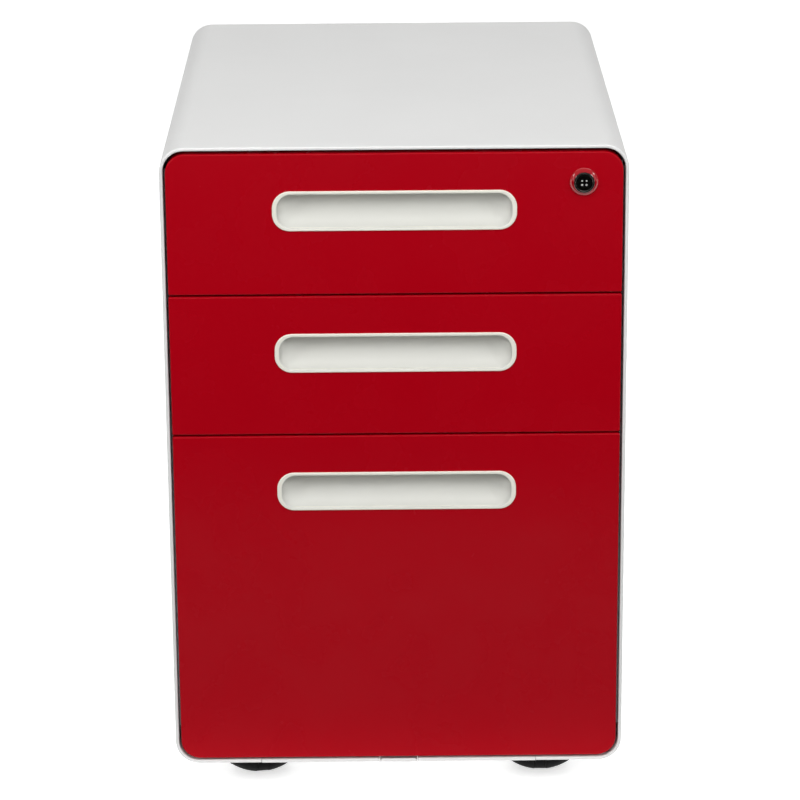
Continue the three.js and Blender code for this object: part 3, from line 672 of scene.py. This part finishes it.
joint = {j["name"]: j for j in frame["joints"]}
for corner in ("front_left", "front_right", "rear_left", "rear_right"):
    eased(f"{corner}_caster_plate", zinc, 0.4)
    eased(f"{corner}_caster_hood", nylon, 0.5)
    for side, outward in (("left", -1), ("right", 1)):
        spin = joint[f"{corner}_{side}_wheel_spin"]
        section = wheel_section()
        rings = turned(section, np.array(spin["pos_m"]) * 1000, np.array(spin["axis"]) * outward, WHEEL_STEPS)
        node = f"{corner}_caster_{side}_wheel"
        piece(f"{node}_moulded", rings, grid_quads(len(section), WHEEL_STEPS, False, True).reshape(-1, 4),
              node, "caster_plastic", nylon, [node])


# ==== Anti-tilt wheel ====
# A folded bracket under the file drawer carries a small nylon wheel, just clear of the floor, out in front.
# Its front tongue fills the notch in the sill.

eased("anti_tilt_bracket", case_white, FOLD)
eased("anti_tilt_wheel", nylon, 0.4)


# ==== Studio ====
# A plain pale floor, a softbox at each side, a large soft light in front and one overhead. Two black sheets
# just over the floor in front of the object darken what its front picks up from the floor. The camera,
# shadows and transmission pass through them, and reflections pass through the nearer one.

studio = bpy.context.scene
studio.view_settings.view_transform = "Standard"


def matte(name, colour, glow):
    """A sheet without gloss. The floor is opal acrylic lit softly from below, which keeps shadows pale."""
    material, tree, shader, place = start_material(name, Roughness=1.0, Specular_IOR_Level=0.0,
                                                   Emission_Color=linear("#FFFFFF"), Emission_Strength=glow,
                                                   Base_Color=linear(colour))
    tree.nodes.remove(place.node)
    return material


def ground(name, corners, material):
    """One flat sheet through four corners, in metres."""
    mesh = bpy.data.meshes.new(name)
    mesh.from_pydata(corners, [], [(0, 1, 2, 3)])
    mesh.materials.append(material)
    made = bpy.data.objects.new(name, mesh)
    studio.collection.objects.link(made)
    return made


FLOOR_HALF = 14
FLAG_HALF, FLAG_RISE = 2.5, 0.02

opal = matte("opal_acrylic", "#F4F4F4", 0.6)
ground("floor", [(x * FLOOR_HALF, y * FLOOR_HALF, 0) for x, y in ((-1, -1), (1, -1), (1, 1), (-1, 1))], opal)
felt = matte("black_felt", "#050505", 0.0)
for name, near, far in (("near_flag", -0.3, -1.0), ("far_flag", -1.0, -3.6)):
    places = ((-FLAG_HALF, far), (FLAG_HALF, far), (FLAG_HALF, near), (-FLAG_HALF, near))
    flag = ground(name, [(x, y, FLAG_RISE) for x, y in places], felt)
    flag.visible_camera = False
    flag.visible_glossy = name == "far_flag"
    flag.visible_shadow = False
    flag.visible_transmission = False


def softbox(name, place, target, width, height, power):
    """A rectangular light that faces its target."""
    light = bpy.data.lights.new(name, "AREA")
    light.shape = "RECTANGLE"
    light.size = width
    light.size_y = height
    light.energy = power
    made = bpy.data.objects.new(name, light)
    studio.collection.objects.link(made)
    made.location = place
    made.rotation_euler = (Vector(target) - Vector(place)).to_track_quat("-Z", "Y").to_euler()
    return made


softbox("left_softbox", (-2.1, -1.7, 1.6), (0, 0, 0.35), 0.7, 0.7, 14)
softbox("right_softbox", (2.1, -1.7, 1.6), (0, 0, 0.35), 0.7, 0.7, 14)
front_light = softbox("front_softbox", (0, -2.6, 2.6), (0, -0.1, 0.3), 2.6, 3.4, 92)
front_light.visible_glossy = False  # polished metal would otherwise mirror it as one large white patch
softbox("overhead_softbox", (0, 1.6, 4.0), (0, 1.4, 0), 6.0, 5.0, 74)

world = bpy.data.worlds.new("pale_room")
studio.world = world
world.use_nodes = True
world.node_tree.nodes["Background"].inputs["Color"].default_value = (1, 1, 1, 1)
world.node_tree.nodes["Background"].inputs["Strength"].default_value = 0.24

# The camera stands 2.7 m in front of the drawers, 1.27 m up, and looks down 18 degrees.
CAMERA_PLACE = np.array([-0.0075, -3.0026, 1.2688])
CAMERA_PITCH, CAMERA_YAW, CAMERA_ROLL = 18.01, 0.23, -0.42
LENS_MM = 149.5


def aim(pitch, yaw, roll):
    """The camera's turn: forward is (sin yaw cos pitch, cos yaw cos pitch, -sin pitch), and right and up are
    then turned about it by the roll."""
    p, y, r = np.radians([pitch, yaw, roll])
    forward = np.array([np.sin(y) * np.cos(p), np.cos(y) * np.cos(p), -np.sin(p)])
    level = np.array([np.cos(y), -np.sin(y), 0])
    above = np.cross(level, forward)
    right = level * np.cos(r) + above * np.sin(r)
    up = above * np.cos(r) - level * np.sin(r)
    return np.column_stack([right, up, -forward])


camera_data = bpy.data.cameras.new("camera")
camera_data.lens = LENS_MM
camera_data.sensor_width = 36
camera = bpy.data.objects.new("camera", camera_data)
studio.collection.objects.link(camera)
matrix = np.eye(4)
matrix[:3, :3] = aim(CAMERA_PITCH, CAMERA_YAW, CAMERA_ROLL)
matrix[:3, 3] = CAMERA_PLACE
camera.matrix_world = Matrix(matrix.tolist())
studio.camera = camera
